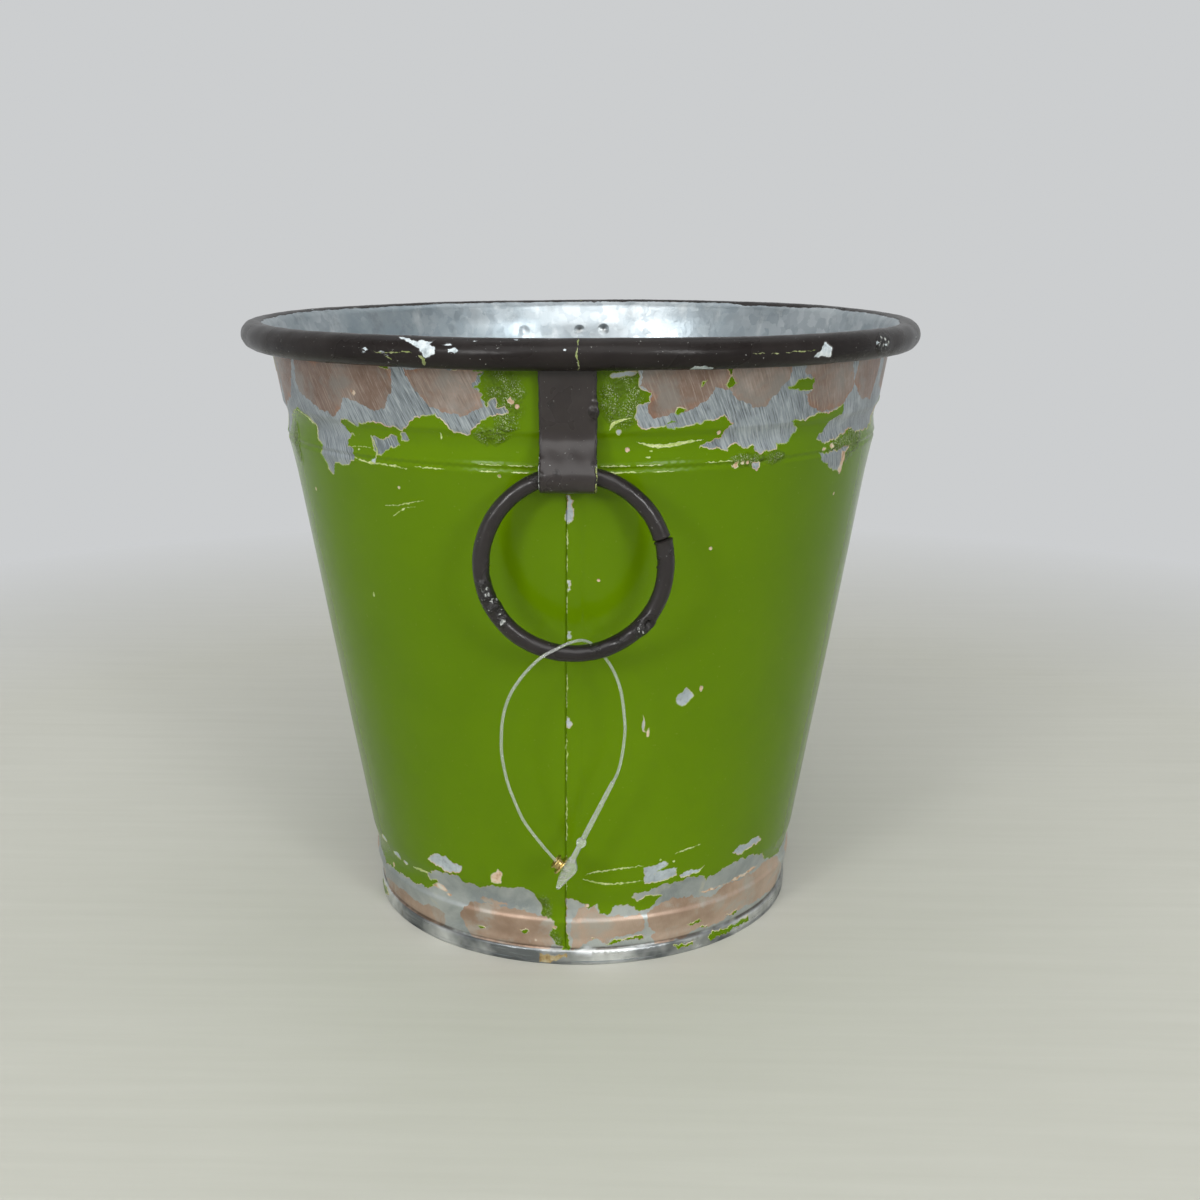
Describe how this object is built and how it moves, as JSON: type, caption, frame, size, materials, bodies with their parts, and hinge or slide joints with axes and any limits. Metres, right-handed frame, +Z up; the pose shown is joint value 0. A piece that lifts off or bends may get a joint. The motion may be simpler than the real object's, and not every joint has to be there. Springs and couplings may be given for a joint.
{
  "type": "metal bucket with ring handles",
  "caption": "Tapered sheet-metal bucket with a rolled rim and strap-hung ring handles, green paint chipped to bare metal, with a clear loop tag on one ring.",
  "frame": {"origin": "centre of the foot on the floor, midway between the outer sides", "axes": "+Z up; the front ring handle and its strap face -Y, the rear ones +Y; X runs along the ring pivots"},
  "size_m": [0.254, 0.254, 0.229],
  "materials": {
    "body_paint": "semi-gloss, chipped",
    "galvanised": "satin, spangled",
    "brown_paint": "satin",
    "clear_plastic": "gloss, translucent",
    "brass": "polished"
  },
  "bodies": {
    "bucket": {"body": "body_paint", "bottom": "galvanised", "front_strap": "brown_paint", "rear_strap": "brown_paint"},
    "front_handle": {"front_ring": "brown_paint", "tag_loop": "clear_plastic", "tag_lock": "clear_plastic", "tag_eyelet": "brass"},
    "rear_handle": {"rear_ring": "brown_paint"}
  },
  "joints": [
    {"name": "front_ring_swing", "type": "hinge", "parent": "bucket", "child": "front_handle", "pos_m": [0, -0.11747, 0.1862], "axis": [-1, 0, 0], "range_deg": [-4, 150]},
    {"name": "rear_ring_swing", "type": "hinge", "parent": "bucket", "child": "rear_handle", "pos_m": [0, 0.11687, 0.1862], "axis": [1, 0, 0], "range_deg": [-8, 150]}
  ]
}
